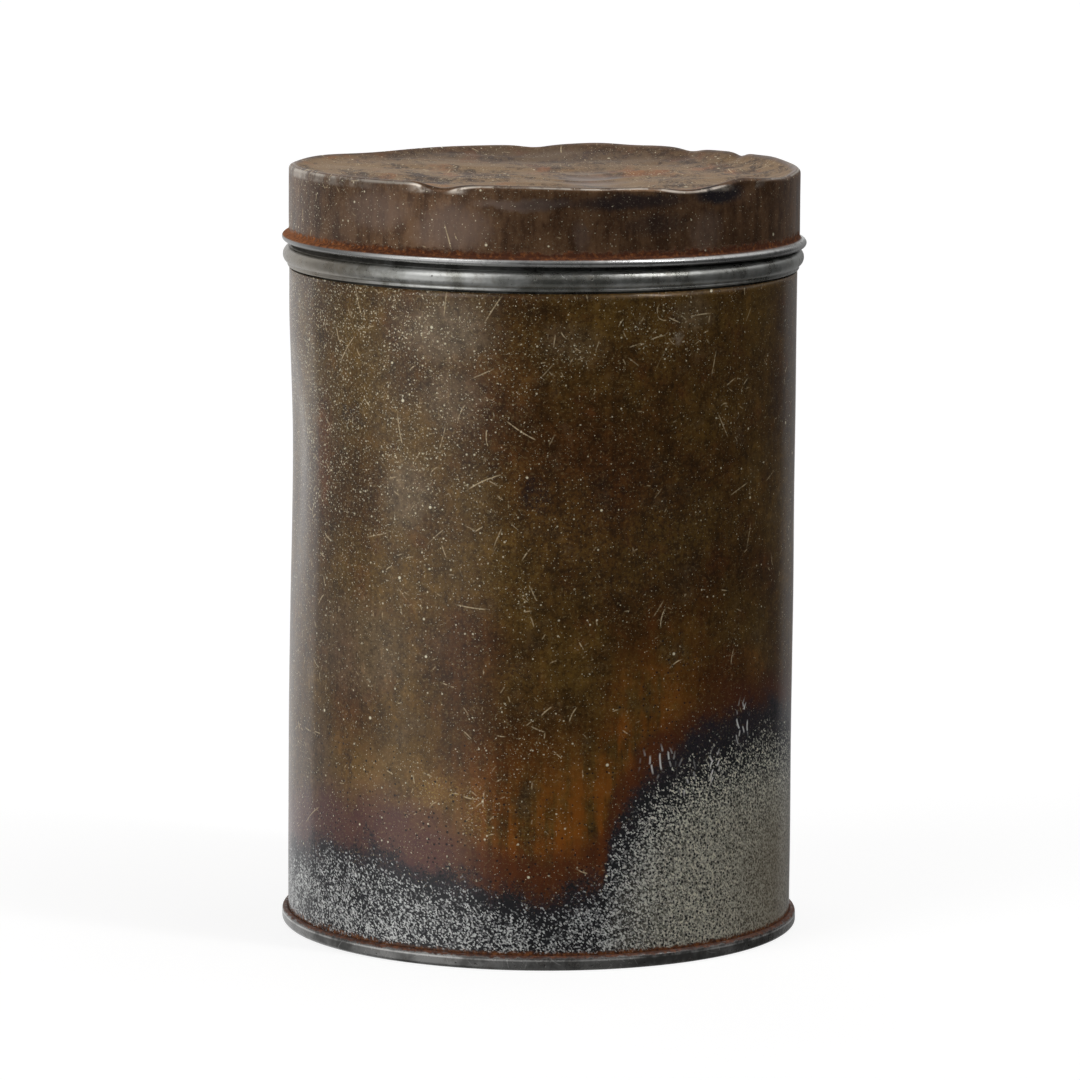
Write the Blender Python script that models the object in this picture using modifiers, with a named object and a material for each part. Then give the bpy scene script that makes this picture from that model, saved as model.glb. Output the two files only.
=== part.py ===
"""Tall slip-lid tin for shoe polish, built as its real pieces.

The tin is a rolled body with a lock seam at the back, a pressed base curled round the body's
foot, a separate neck ring with a stop bead, and a one-piece drawn lid that slips over the neck.
A cake of polish fills the lower part. Units are metres and +Z is up; the origin is at the
middle of the face that the tin stands on. A profile lists (radius, height) points of the middle
of the sheet, so that half the sheet lies on each side of it.
"""

import math

import bmesh
import bpy

# Driving dimensions of the tin.
OVERALL_HEIGHT = 0.1513
BODY_RADIUS = 0.0500  # outside of the rolled body
SHEET = 0.0003  # thickness of the tinplate
GAP = 0.0003  # clearance between neighbouring pieces
SEGMENTS = 48  # facets round each turned piece
HALF_SHEET = SHEET / 2

# Base: a countersunk disc whose edge turns down, out and up round the foot of the body.
BASE_RIM_RADIUS = 0.0512
BASE_RIM_HEIGHT = 0.0029
BASE_PANEL_HEIGHT = 0.0035  # top of the outer part of the panel
BASE_STEP_HEIGHT = 0.0006  # the middle of the panel is pressed up by this
BASE_STEP_RADIUS = 0.0370
BASE_CORNER = 0.0010
BASE_BEND = 0.0005

# Body: the rolled wall, with a flange at its foot and a lock seam at the back.
WALL_TOP = 0.1305
FLANGE_BEND = 0.0005
FLANGE_HEIGHT = 0.0008  # underside of the flange
SEAM_WIDTH = 0.0045
SEAM_PROUD = 0.00035
SEAM_FOOT = 0.0036
SEAM_HEAD = 0.1302
SEAM_ROOT = 0.0002  # how far the seam strip sinks into the wall
SOLDER_RADIUS = 0.00025

# Neck ring: a sleeve inside the body, the stop bead, and the neck that the lid slips over.
SLEEVE_FOOT = 0.1225
BEAD_FOOT = 0.1309
BEAD_HEAD = 0.1348
BEAD_RADIUS = 0.0513
NECK_RADIUS = 0.0496
NECK_TOP = 0.1441
NECK_HEM = 0.0005

# Lid: sunken panel, rounded shoulder, straight skirt and an outward curl at the edge.
SKIRT_RADIUS = 0.0503
SHOULDER_RADIUS = 0.0015
PANEL_SINK = 0.0035
PANEL_RADIUS = 0.0440
RIM_SLOPE_RADIUS = 0.0472
RIM_SLOPE_DROP = 0.0008
CURL_RADIUS = 0.05175
CURL_FOOT = 0.1350
CURL_HEAD = 0.1376

# Polish: a cake shrunk slightly from the wall, worn hollow in the middle.
CAKE_RADIUS = 0.0492
CAKE_RIM_HEIGHT = 0.0880
CAKE_HOLLOW_DEPTH = 0.0060
CAKE_HOLLOW_RADIUS = 0.0440
CAKE_HOLLOW_STEPS = 6

# Finishes: colour, roughness and metallic value of each piece.
BROWNED_TIN = ((0.085, 0.060, 0.036), 0.42, 0.85)
BARE_TIN = ((0.300, 0.290, 0.270), 0.38, 0.95)
LID_BROWN = ((0.110, 0.070, 0.050), 0.45, 0.85)
SOLDER_GREY = ((0.350, 0.340, 0.320), 0.50, 0.90)
POLISH_BROWN = ((0.045, 0.018, 0.010), 0.35, 0.00)

OBJECT_NAME = "shoe_polish_tin"
CUTTERS_NAME = "cutters"
MERGE_DISTANCE = 0.00001


def clear_scene():
    """Remove whatever the scene holds."""
    for item in list(bpy.data.objects):
        bpy.data.objects.remove(item, do_unlink=True)


def new_collection(name):
    """Make a collection under the scene's own one."""
    collection = bpy.data.collections.new(name)
    bpy.context.scene.collection.children.link(collection)
    return collection


def make_material(name, finish):
    """A Principled material from a (colour, roughness, metallic) finish."""
    colour, roughness, metallic = finish
    material = bpy.data.materials.new(name)
    material.use_nodes = True
    shader = material.node_tree.nodes["Principled BSDF"]
    shader.inputs["Base Color"].default_value = (*colour, 1.0)
    shader.inputs["Roughness"].default_value = roughness
    shader.inputs["Metallic"].default_value = metallic
    return material


def arc(centre, radius, start, end, steps, height=None):
    """Points (radius, height) of a round stretch, from start to end in degrees.

    height is the second half-axis where the stretch is elliptical.
    """
    tall = radius if height is None else height
    points = []
    for i in range(steps + 1):
        angle = math.radians(start + (end - start) * i / steps)
        points.append((centre[0] + radius * math.cos(angle), centre[1] + tall * math.sin(angle)))
    return points


def profile_object(name, profile, material, collection):
    """An object that holds a profile as a chain of edges in the XZ plane."""
    mesh = bpy.data.meshes.new(name)
    shape = bmesh.new()
    points = [shape.verts.new((radius, 0.0, height)) for radius, height in profile]
    for first, second in zip(points, points[1:]):
        shape.edges.new((first, second))
    shape.to_mesh(mesh)
    shape.free()
    item = bpy.data.objects.new(name, mesh)
    item.data.materials.append(material)
    collection.objects.link(item)
    return item


def turn(item):
    """Turn an object's profile once round the Z axis."""
    screw = item.modifiers.new("turn", "SCREW")
    screw.axis = "Z"
    screw.angle = math.tau
    screw.steps = SEGMENTS
    screw.render_steps = SEGMENTS
    screw.use_merge_vertices = True
    screw.merge_threshold = MERGE_DISTANCE
    screw.use_smooth_shade = True


def turned_sheet(name, profile, material, collection):
    """A piece turned from sheet: its middle line turned once, then given its thickness."""
    item = profile_object(name, profile, material, collection)
    turn(item)
    wall = item.modifiers.new("sheet", "SOLIDIFY")
    wall.thickness = SHEET
    wall.offset = 0.0
    wall.use_even_offset = True
    return item


def turned_solid(name, profile, material, collection):
    """A solid turned from a profile that starts and ends on the axis."""
    item = profile_object(name, profile, material, collection)
    turn(item)
    return item


def base_end(material, collection):
    """The pressed base: panel, countersink wall, foot, and the rim curled round the flange."""
    panel = BASE_PANEL_HEIGHT - HALF_SHEET
    step = panel + BASE_STEP_HEIGHT
    wall = BODY_RADIUS - SHEET - GAP - HALF_SHEET
    rim = BASE_RIM_RADIUS - HALF_SHEET
    curl = BASE_RIM_HEIGHT - HALF_SHEET
    profile = [(0.0, step), (BASE_STEP_RADIUS - BASE_STEP_HEIGHT, step), (BASE_STEP_RADIUS, panel)]
    profile += arc((wall - BASE_CORNER, panel - BASE_CORNER), BASE_CORNER, 90, 0, 3)
    foot = HALF_SHEET + BASE_BEND
    profile += arc((wall + BASE_BEND, foot), BASE_BEND, 180, 270, 3)
    profile += arc((rim - BASE_BEND, foot), BASE_BEND, 270, 360, 3)
    profile += arc((rim - BASE_BEND, curl - BASE_BEND), BASE_BEND, 0, 100, 4)
    return turned_sheet("base_end", profile, material, collection)


def seam_strip(material, collection):
    """The raised strip of the lock seam, as a cutter object that is joined to the wall."""
    bpy.ops.mesh.primitive_cube_add(size=1.0)
    strip = bpy.context.active_object
    strip.name = "seam_strip"
    for owner in list(strip.users_collection):
        owner.objects.unlink(strip)
    collection.objects.link(strip)
    inner = BODY_RADIUS - SEAM_ROOT
    outer = BODY_RADIUS + SEAM_PROUD
    size = (SEAM_WIDTH, outer - inner, SEAM_HEAD - SEAM_FOOT)
    centre = (0.0, (outer + inner) / 2, (SEAM_HEAD + SEAM_FOOT) / 2)
    for point in strip.data.vertices:
        point.co = [centre[i] + point.co[i] * size[i] for i in range(3)]
    strip.data.materials.append(material)
    strip.hide_render = True
    strip.display_type = "WIRE"
    return strip


def body_wall(material, collection, cutters):
    """The rolled body: straight wall, flange at the foot, lock seam at the back."""
    middle = BODY_RADIUS - HALF_SHEET
    flange = FLANGE_HEIGHT + HALF_SHEET
    profile = [(middle, WALL_TOP)]
    profile += arc((middle + FLANGE_BEND, flange + FLANGE_BEND), FLANGE_BEND, 180, 270, 3)
    wall = turned_sheet("body_wall", profile, material, collection)
    join = wall.modifiers.new("lock seam", "BOOLEAN")
    join.operation = "UNION"
    join.solver = "EXACT"
    join.object = seam_strip(material, cutters)
    return wall


def side_seam_solder(material, collection):
    """The run of solder in the corner between the lock seam and the wall."""
    curve = bpy.data.curves.new("side_seam_solder", "CURVE")
    curve.dimensions = "3D"
    curve.bevel_depth = SOLDER_RADIUS
    curve.bevel_resolution = 2
    curve.use_fill_caps = True
    across = SEAM_WIDTH / 2 + GAP + SOLDER_RADIUS
    out = BODY_RADIUS + SOLDER_RADIUS + GAP / 2
    line = curve.splines.new("POLY")
    line.points.add(1)
    line.points[0].co = (across, out, SEAM_FOOT, 1.0)
    line.points[1].co = (across, out, SEAM_HEAD, 1.0)
    item = bpy.data.objects.new("side_seam_solder", curve)
    item.data.materials.append(material)
    collection.objects.link(item)
    return item


def neck_ring(material, collection):
    """The neck ring: sleeve inside the body, half-round stop bead, neck and inward hem."""
    sleeve = BODY_RADIUS - SHEET - GAP - HALF_SHEET
    neck = NECK_RADIUS - HALF_SHEET
    shelf = BEAD_FOOT + HALF_SHEET
    bead_middle = (BEAD_FOOT + BEAD_HEAD) / 2
    bead_half = (BEAD_HEAD - BEAD_FOOT) / 2 - HALF_SHEET
    profile = arc((neck - NECK_HEM, NECK_TOP - HALF_SHEET - NECK_HEM), NECK_HEM, 135, 0, 4)
    profile += arc((neck, bead_middle), BEAD_RADIUS - HALF_SHEET - neck, 80, -75, 8, bead_half)
    profile += arc((sleeve + FLANGE_BEND, shelf - FLANGE_BEND), FLANGE_BEND, 90, 180, 3)
    profile += [(sleeve, SLEEVE_FOOT)]
    return turned_sheet("neck_ring", profile, material, collection)


def lid_shell(material, collection):
    """The drawn lid: sunken panel, rounded shoulder, skirt and the curl at its edge."""
    top = OVERALL_HEIGHT - HALF_SHEET
    skirt = SKIRT_RADIUS - HALF_SHEET
    shoulder = (skirt - SHOULDER_RADIUS, top - SHOULDER_RADIUS)
    curl_middle = (CURL_FOOT + CURL_HEAD) / 2
    curl_half = (CURL_HEAD - CURL_FOOT) / 2 - HALF_SHEET
    sunk = top - PANEL_SINK
    dish = (RIM_SLOPE_DROP - PANEL_SINK) / 2
    profile = [(0.0, sunk), (PANEL_RADIUS / 2, sunk - dish / 4)]
    profile += [(PANEL_RADIUS, sunk - dish), (RIM_SLOPE_RADIUS, top - RIM_SLOPE_DROP / 2)]
    profile += arc(shoulder, SHOULDER_RADIUS, 90, 0, 5)
    profile += arc((skirt, curl_middle), CURL_RADIUS - HALF_SHEET - skirt, 90, -90, 8, curl_half)
    return turned_sheet("lid_shell", profile, material, collection)


def polish_cake(material, collection):
    """The cake of polish, with a shallow hollow worn in its top."""
    floor = BASE_PANEL_HEIGHT + BASE_STEP_HEIGHT + GAP
    low = CAKE_RIM_HEIGHT - CAKE_HOLLOW_DEPTH
    profile = []
    for i in range(CAKE_HOLLOW_STEPS + 1):
        share = i / CAKE_HOLLOW_STEPS
        rise = CAKE_HOLLOW_DEPTH * (1 - math.cos(math.pi * share)) / 2
        profile.append((CAKE_HOLLOW_RADIUS * share, low + rise))
    profile += [(CAKE_RADIUS, CAKE_RIM_HEIGHT), (CAKE_RADIUS, floor), (0.0, floor)]
    return turned_solid("polish_cake", profile, material, collection)


def build_tin():
    """Build every piece of the tin into its collection."""
    tin = new_collection(OBJECT_NAME)
    cutters = new_collection(CUTTERS_NAME)
    bare = make_material("bare_tin", BARE_TIN)
    base_end(make_material("base_tin", BARE_TIN), tin)
    body_wall(make_material("browned_tin", BROWNED_TIN), tin, cutters)
    side_seam_solder(make_material("solder", SOLDER_GREY), tin)
    neck_ring(bare, tin)
    lid_shell(make_material("lid_tin", LID_BROWN), tin)
    polish_cake(make_material("polish", POLISH_BROWN), tin)


clear_scene()
build_tin()
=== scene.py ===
"""Looks of a tall slip-lid tin for shoe polish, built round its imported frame.

The tin is old tinplate under a brown lacquer. Heat has browned it, and near the foot it has
burnt the lacquer away to grey, grainy tin. The lid's top is knocked in and its rim is buckled.
Each sub-assembly is a class that builds its sheet as a fine turned shell, knocks it out of
true by formula, and dresses it in a finish. Lengths are metres unless a name says otherwise,
and a bearing is an angle in degrees from the front, positive towards +X.
"""

import logging
import math
from dataclasses import dataclass, field
from enum import Enum

import bmesh
import bpy
from mathutils import Matrix, Vector, noise


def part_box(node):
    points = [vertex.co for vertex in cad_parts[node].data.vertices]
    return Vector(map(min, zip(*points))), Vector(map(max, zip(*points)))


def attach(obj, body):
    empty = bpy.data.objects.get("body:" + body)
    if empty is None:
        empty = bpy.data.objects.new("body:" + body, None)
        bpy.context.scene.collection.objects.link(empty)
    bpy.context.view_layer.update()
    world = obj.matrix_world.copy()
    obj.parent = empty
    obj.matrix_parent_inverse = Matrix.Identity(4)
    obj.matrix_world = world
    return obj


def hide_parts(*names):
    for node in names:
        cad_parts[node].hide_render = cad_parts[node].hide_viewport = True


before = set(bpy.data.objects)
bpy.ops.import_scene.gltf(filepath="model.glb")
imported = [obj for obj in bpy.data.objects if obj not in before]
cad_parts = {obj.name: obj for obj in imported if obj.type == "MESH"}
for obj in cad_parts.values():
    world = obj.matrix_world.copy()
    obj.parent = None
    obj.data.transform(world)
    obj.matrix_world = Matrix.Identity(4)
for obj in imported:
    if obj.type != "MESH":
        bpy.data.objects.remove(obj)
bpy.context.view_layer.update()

LOG = logging.getLogger("tin")
MM = 0.001
MERGE = 1e-6
LACQUER_GLOSS = 0.25
NOWHERE_MM = 999.0

Colour = tuple[float, float, float]
Point = tuple[float, float]


def height_mm(node: str, end: int) -> float:
    """Height of a CAD node's foot (end 0) or head (end 1), in millimetres."""
    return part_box(node)[end].z / MM


WALL_HEAD_MM = height_mm("body_wall", 1)
NECK_HEAD_MM = height_mm("neck_ring", 1)
SLEEVE_FOOT_MM = height_mm("neck_ring", 0)
LID_FOOT_MM = height_mm("lid_shell", 0)
LID_HEAD_MM = height_mm("lid_shell", 1)


class Body(Enum):
    """The bodies of the frame that pieces ride on."""

    CAN = "can"
    LID = "lid"


# ---------------------------------------------------------------------------------------------
# Shader boards
# ---------------------------------------------------------------------------------------------


@dataclass(frozen=True)
class Wire:
    """One output of a shader node, with arithmetic that adds Math nodes."""

    board: "Board"
    socket: bpy.types.NodeSocket

    def math(self, operation: str, *others: "float | Wire") -> "Wire":
        """Put this wire and others through a Math node of the given operation."""
        values = dict(enumerate((self, *others)))
        return self.board.wire("ShaderNodeMath", {"operation": operation}, values)

    def __add__(self, other: "float | Wire") -> "Wire":
        """Sum."""
        return self.math("ADD", other)

    __radd__ = __add__

    def __mul__(self, other: "float | Wire") -> "Wire":
        """Product."""
        return self.math("MULTIPLY", other)

    __rmul__ = __mul__

    def __sub__(self, other: "float | Wire") -> "Wire":
        """Difference."""
        return self.math("SUBTRACT", other)

    def __rsub__(self, other: float) -> "Wire":
        """Difference of a number and this wire."""
        return (self * -1.0) + other

    def __abs__(self) -> "Wire":
        """Size without sign."""
        return self.math("ABSOLUTE")

    def most(self, other: "float | Wire") -> "Wire":
        """The larger of the two."""
        return self.math("MAXIMUM", other)

    def step(self, low: "float | Wire", high: "float | Wire") -> "Wire":
        """A smooth step, 0 at low and 1 at high, which may be below low."""
        values = {"Value": self, "From Min": low, "From Max": high}
        return self.board.wire("ShaderNodeMapRange", {"interpolation_type": "SMOOTHSTEP"}, values)


class Board:
    """A node tree, with the coordinates and patterns that the finishes share."""

    def __init__(self, tree: bpy.types.NodeTree) -> None:
        """Work on a tree."""
        self.tree = tree

    def node(self, kind: str, settings: dict, values: dict) -> bpy.types.Node:
        """Add a node.

        Args:
            kind: The node's type.
            settings: Its own settings, set first; "stops" fills a colour ramp.
            values: A number, colour, vector or wire for each socket, by name or index.

        Returns:
            The node.
        """
        made = self.tree.nodes.new(kind)
        for key, value in settings.items():
            if key == "stops":
                self._stops(made, value)
            else:
                setattr(made, key, value)
        for key, value in values.items():
            self.feed(made.inputs[key], value)
        return made

    @staticmethod
    def _stops(ramp: bpy.types.Node, stops: list) -> None:
        """Fill a colour ramp.

        Args:
            ramp: The ramp node.
            stops: (position, grey) pairs.
        """
        elements = ramp.color_ramp.elements
        while len(elements) < len(stops):
            elements.new(0.5)
        for element, (place, grey) in zip(elements, stops):
            element.position = place
            element.color = (grey, grey, grey, 1.0)

    def feed(self, socket: bpy.types.NodeSocket, value: object) -> None:
        """Link a wire to a socket, or set the socket's own value.

        Args:
            socket: The input socket.
            value: A wire, number, colour or vector.
        """
        if isinstance(value, Wire):
            self.tree.links.new(value.socket, socket)
        elif isinstance(value, tuple) and socket.type == "RGBA":
            socket.default_value = (*value, 1.0)
        else:
            socket.default_value = value

    def wire(self, kind: str, settings: dict, values: dict, output: "int | str" = 0) -> Wire:
        """Add a node as node() does, and take one of its outputs."""
        return Wire(self, self.node(kind, settings, values).outputs[output])

    def place_mm(self) -> Wire:
        """The point's place on the object, in millimetres."""
        raw = self.wire("ShaderNodeTexCoord", {}, {}, "Object")
        return self.vector("SCALE", raw, 1.0 / MM)

    def vector(self, operation: str, first: "Wire | tuple", second: object) -> Wire:
        """Put a vector and a second one, or a scale, through a Vector Math node."""
        values = {0: first, ("Scale" if operation == "SCALE" else 1): second}
        return self.wire("ShaderNodeVectorMath", {"operation": operation}, values)

    def split(self, vector: Wire) -> tuple[Wire, Wire, Wire]:
        """The three numbers of a vector."""
        made = self.node("ShaderNodeSeparateXYZ", {}, {0: vector})
        return tuple(Wire(self, made.outputs[i]) for i in range(3))

    def unroll(self, x: Wire, y: Wire, radius: float) -> Wire:
        """Length round a wall of a radius, from the front and positive towards +X."""
        return x.math("ARCTAN2", y * -1.0) * radius

    def inward(self, x: Wire, y: Wire) -> Wire:
        """Distance from the axis."""
        return (x * x + y * y).math("SQRT")

    def join(self, x: "float | Wire", y: "float | Wire", z: "float | Wire" = 0.0) -> Wire:
        """A vector from three numbers."""
        return self.wire("ShaderNodeCombineXYZ", {}, {0: x, 1: y, 2: z})

    def mix(self, share: "float | Wire", first: object, second: object, blend: str = "MIX") -> Wire:
        """Mix two colours, with a share of the second."""
        settings = {"data_type": "RGBA", "blend_type": blend, "clamp_factor": True}
        return self.wire("ShaderNodeMix", settings, {0: share, 6: first, 7: second}, 2)

    def ramp(self, value: Wire, stops: list) -> Wire:
        """Greys along a value from 0 to 1, from (position, grey) pairs, straight in between."""
        return self.wire("ShaderNodeValToRGB", {"stops": stops}, {0: value})

    def tinted(self, share: "float | Wire", colour: Wire, tint: Colour) -> Wire:
        """A colour multiplied by a tint in some share."""
        return self.mix(share, colour, self.mix(1.0, colour, tint, "MULTIPLY"))

    def grain(self, place: Wire, size: float, detail: float = 3.0, rough: float = 0.55) -> Wire:
        """Soft noise.

        Args:
            place: Coordinates in millimetres.
            size: Size of the blobs in millimetres.
            detail: Octaves of finer noise.
            rough: How strong the finer noise is.

        Returns:
            The noise, about 0.5.
        """
        values = {"Vector": place, "Scale": 1.0 / size, "Detail": detail, "Roughness": rough}
        return self.wire("ShaderNodeTexNoise", {"noise_dimensions": "3D"}, values, 0)

    def cells(self, plane: Wire, size: float) -> tuple[Wire, Wire, tuple[Wire, Wire, Wire]]:
        """Loose cells over a plane.

        Args:
            plane: Flat coordinates in millimetres.
            size: Size of a cell in millimetres.

        Returns:
            The offset from the cell's point and the distance to it, both in millimetres,
            and three random numbers for each cell.
        """
        settings = {"voronoi_dimensions": "2D", "feature": "F1"}
        made = self.node("ShaderNodeTexVoronoi", settings, {"Vector": plane, "Scale": 1.0 / size})
        offset = self.vector("SUBTRACT", plane, Wire(self, made.outputs["Position"]))
        drawn = self.node("ShaderNodeSeparateColor", {}, {0: Wire(self, made.outputs["Color"])})
        distance = Wire(self, made.outputs["Distance"]) * size
        return offset, distance, tuple(Wire(self, drawn.outputs[i]) for i in range(3))

    def specks(self, plane: Wire, size: float, radius: float, share: "float | Wire") -> Wire:
        """Small round dots.

        Args:
            plane: Flat coordinates in millimetres.
            size: Size of the cells that hold a dot each.
            radius: Largest radius of a dot in millimetres.
            share: Share of the cells that hold one.

        Returns:
            1 inside a dot and 0 outside.
        """
        _, distance, drawn = self.cells(plane, size)
        wide = (drawn[0] * 0.7 + 0.3) * radius
        return distance.step(wide, wide * 0.5) * (share - drawn[1]).step(0.0, 0.02)

    def scratches(self, plane: Wire, size: float, reach: float, width: float, share: object,
                  lean: tuple[float, float] = (0.0, 180.0), bow: float = 0.0) -> Wire:
        """Thin straight or bowed lines at random places.

        Args:
            plane: Flat coordinates in millimetres.
            size: Size of the cells that hold a scratch each.
            reach: Longest half length in millimetres.
            width: Half width in millimetres.
            share: Share of the cells that hold one.
            lean: Range of the scratches' directions, in degrees from the level.
            bow: How far a scratch bows, as a share of its length.

        Returns:
            The scratches' strength, from 0 to 1.
        """
        offset, _, drawn = self.cells(plane, size)
        across, up, _ = self.split(offset)
        turn = drawn[0] * math.radians(lean[1] - lean[0]) + math.radians(lean[0])
        cosine = turn.math("COSINE")
        sine = turn.math("SINE")
        along = across * cosine + up * sine
        off = up * cosine - across * sine
        if bow:
            off = off + (drawn[2] - 0.5) * (along * along) * (2.0 * bow / reach)
        half = (drawn[2] * 0.7 + 0.3) * reach
        line = abs(off).step(width, width * 0.3) * abs(along).step(half, half * 0.5)
        return line * (share - drawn[1]).step(0.0, 0.05) * (drawn[2] * 0.6 + 0.4)

    def patch(self, plane: Wire, spot: "Patch", radius_mm: float) -> Wire:
        """A soft oval at one place on a turned wall.

        Args:
            plane: Flat coordinates in millimetres, made ragged where the oval should be.
            spot: The oval.
            radius_mm: The wall's radius.

        Returns:
            Its strength, from 0 outside to spot.strength inside.
        """
        centre = (math.radians(spot.bearing) * radius_mm, spot.height, 0.0)
        offset = self.vector("SUBTRACT", plane, centre)
        scaled = self.vector("MULTIPLY", offset, (1.0 / spot.half_width, 1.0 / spot.half_height, 0))
        length = self.wire("ShaderNodeVectorMath", {"operation": "LENGTH"}, {0: scaled}, 1)
        return length.step(1.0, 0.35) * spot.strength

    def patches(self, plane: Wire, spots: "tuple[Patch, ...]", radius_mm: float) -> Wire:
        """Soft ovals together.

        Args:
            plane: Flat coordinates in millimetres, round the wall and up.
            spots: The ovals.
            radius_mm: The wall's radius.

        Returns:
            The strongest of them at each point.
        """
        total = self.patch(plane, spots[0], radius_mm)
        for spot in spots[1:]:
            total = total.most(self.patch(plane, spot, radius_mm))
        return total

    def shifted(self, plane: Wire, x: float, y: float) -> Wire:
        """Coordinates moved along, so that a pattern doesn't repeat another."""
        return self.vector("ADD", plane, (x, y, 0.0))


@dataclass(frozen=True)
class Patch:
    """A soft oval mark: its bearing in degrees, and height and half sizes in millimetres."""

    bearing: float
    height: float
    half_width: float
    half_height: float
    strength: float = 1.0


class Paint(Board):
    """A material's board."""

    def __init__(self, name: str) -> None:
        """Start a material.

        Args:
            name: The material's name.
        """
        self.material = bpy.data.materials.new(name)
        self.material.use_nodes = True
        super().__init__(self.material.node_tree)
        self.shader = self.tree.nodes["Principled BSDF"]

    def relief(self, height: Wire, depth_mm: float) -> None:
        """Turn a height pattern into the shader's bump.

        Args:
            height: The pattern, from 0 to 1.
            depth_mm: Its depth in millimetres.
        """
        values = {"Height": height, "Distance": depth_mm * MM, "Strength": 1.0}
        bump = self.wire("ShaderNodeBump", {}, values, "Normal")
        self.feed(self.shader.inputs["Normal"], bump)

    def coat(self, weight: float, roughness: float) -> None:
        """Lay a clear coat of even thickness over the material."""
        self.shader.inputs["Coat Weight"].default_value = weight
        self.shader.inputs["Coat Roughness"].default_value = roughness

    def gloss(self, level: float) -> None:
        """Set how strongly the material mirrors."""
        self.shader.inputs["Specular IOR Level"].default_value = level

    def paint(self, **values: object) -> None:
        """Feed the shader's sockets by name, with _ for a space."""
        for name, value in values.items():
            self.feed(self.shader.inputs[name.replace("_", " ").title()], value)


# ---------------------------------------------------------------------------------------------
# Finishes
# ---------------------------------------------------------------------------------------------


@dataclass(frozen=True)
class Rust:
    """Rust, from deep red-brown to orange."""

    deep: Colour = (0.055, 0.018, 0.009)
    orange: Colour = (0.360, 0.130, 0.040)

    def colour(self, board: Board, place: Wire, glow: "float | Wire" = 0.0) -> Wire:
        """The rust's own mottled colour, more orange by the glow."""
        mottle = board.grain(place, 0.8, 4.0, 0.7) + glow
        return board.mix(mottle.step(0.40, 0.85), self.deep, self.orange)


@dataclass(frozen=True)
class Wear:
    """Specks, ticks and scratches that show the metal or dried polish through a lacquer."""

    pale: Colour = (0.48, 0.36, 0.17)
    bright: Colour = (0.78, 0.62, 0.38)
    cream: Colour = (0.96, 0.88, 0.64)
    tick_cell_mm: float = 2.4
    scratch_cell_mm: float = 4.4
    long_cell_mm: float = 11.0

    def over(self, board: Board, plane: Wire, colour: Wire, dense: Wire,
             busy: Wire, long_share: "float | Wire") -> tuple[Wire, Wire]:
        """Lay the wear over a colour.

        Args:
            board: The board to add nodes to.
            plane: Flat coordinates in millimetres.
            colour: The colour beneath.
            dense: Share of the fine specks, from 0 to 1.
            busy: How worn the place is, from 0 to 1.
            long_share: Share of the long scratches.

        Returns:
            The colour with the wear, and the wear's own strength.
        """
        cluster = board.grain(board.shifted(plane, 61, 9), 5.0, 4.0, 0.7).step(0.40, 0.62)
        grit = board.grain(plane, 0.60, 3.0, 0.85) + dense * 0.05 + cluster * 0.03
        colour = board.mix(grit.step(0.57, 0.70) * 0.42, colour, self.pale)
        broken = board.grain(board.shifted(plane, 19, 2), 0.8, 3.0, 0.8).step(0.38, 0.54)
        ticks = board.scratches(board.shifted(plane, 5, 77), self.tick_cell_mm, 1.2, 0.16,
                                busy * 0.50 + dense * 0.05, (0, 180), 0.30)
        short = board.scratches(board.shifted(plane, 57, 3), self.scratch_cell_mm, 2.1, 0.17,
                                busy * 0.60 + 0.015, (0, 180), 0.20)
        long_marks = board.scratches(board.shifted(plane, 13, 41), self.long_cell_mm, 4.6, 0.17,
                                     long_share, (0, 180), 0.12)
        marks = (ticks * 0.85).most(short).most(long_marks) * (broken * 0.8 + 0.2)
        colour = board.mix(marks, colour, self.bright)
        fine = board.grain(board.shifted(plane, 7, 3), 0.42, 1.0, 0.6) + dense * 0.035
        fine = (fine + cluster * dense * 0.06).step(0.705, 0.745)
        sown = (dense * 0.65 + 0.03) * (cluster * 0.8 + 0.2)
        round_dots = board.specks(board.shifted(plane, 31, 7), 1.5, 0.27, sown)
        large = board.specks(board.shifted(plane, 91, 17), 7.0, 0.42, 0.18)
        dots = (fine * 0.85).most(round_dots * 0.80).most(large)
        return board.mix(dots, colour, self.cream), marks.most(dots)


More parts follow.
